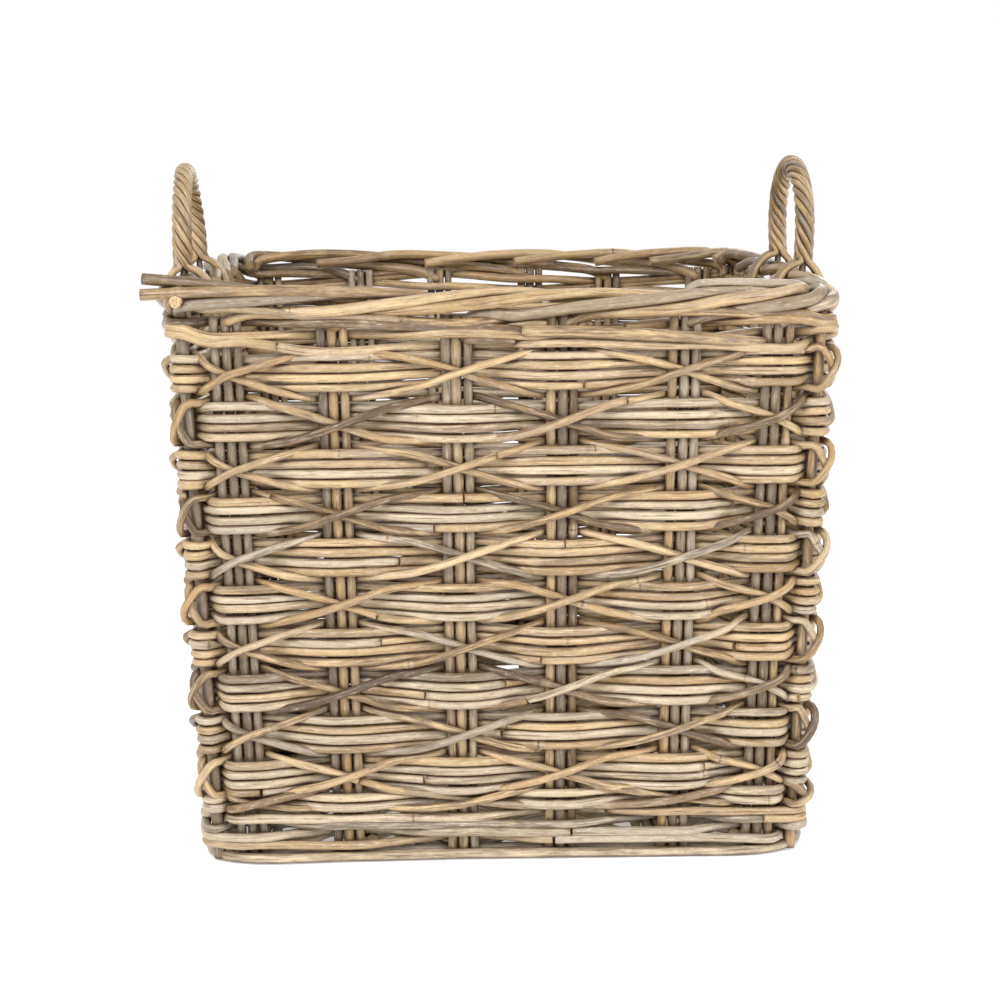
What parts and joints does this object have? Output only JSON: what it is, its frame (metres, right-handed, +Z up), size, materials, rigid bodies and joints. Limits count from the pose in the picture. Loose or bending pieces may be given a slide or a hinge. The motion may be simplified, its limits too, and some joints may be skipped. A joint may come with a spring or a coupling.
{
  "type": "wicker log basket",
  "caption": "Square open log basket woven from grey round rattan, with crossing canes over each row, a rolled border and a twisted handle on each side.",
  "frame": {"origin": "centre of the underside, on the floor", "axes": "+Z up, -Y towards the front wall, +X towards the right-hand handle"},
  "size_m": [0.5306, 0.5032, 0.5235],
  "materials": {
    "weaver_cane": "satin",
    "cross_cane": "satin",
    "stake_cane": "satin",
    "border_cane": "satin",
    "handle_cane": "satin"
  },
  "bodies": {
    "root": {"stakes_front": "stake_cane", "stakes_right": "stake_cane", "stakes_back": "stake_cane", "stakes_left": "stake_cane", "corner_post_front_left": "stake_cane", "corner_post_front_right": "stake_cane", "corner_post_back_right": "stake_cane", "corner_post_back_left": "stake_cane", "weave_row_01": "weaver_cane", "weave_row_02": "weaver_cane", "weave_row_03": "weaver_cane", "weave_row_04": "weaver_cane", "weave_row_05": "weaver_cane", "weave_row_06": "weaver_cane", "weave_row_07": "weaver_cane", "weave_row_08": "weaver_cane", "weave_row_09": "weaver_cane", "weave_row_10": "weaver_cane", "weave_row_11": "weaver_cane", "cross_pair_01": "cross_cane", "cross_pair_02": "cross_cane", "cross_pair_03": "cross_cane", "cross_pair_04": "cross_cane", "cross_pair_05": "cross_cane", "cross_pair_06": "cross_cane", "cross_pair_07": "cross_cane", "cross_pair_08": "cross_cane", "cross_pair_09": "cross_cane", "cross_pair_10": "cross_cane", "cross_pair_11": "cross_cane", "upper_wale": "weaver_cane", "lower_wale": "weaver_cane", "base_weave": "weaver_cane", "rim_border_front": "border_cane", "rim_border_right": "border_cane", "rim_border_back": "border_cane", "rim_border_left": "border_cane", "foot_border": "border_cane", "base_sticks": "stake_cane", "handle_left_bow": "stake_cane", "handle_right_bow": "stake_cane", "handle_left_twist": "handle_cane", "handle_right_twist": "handle_cane"}
  },
  "joints": []
}
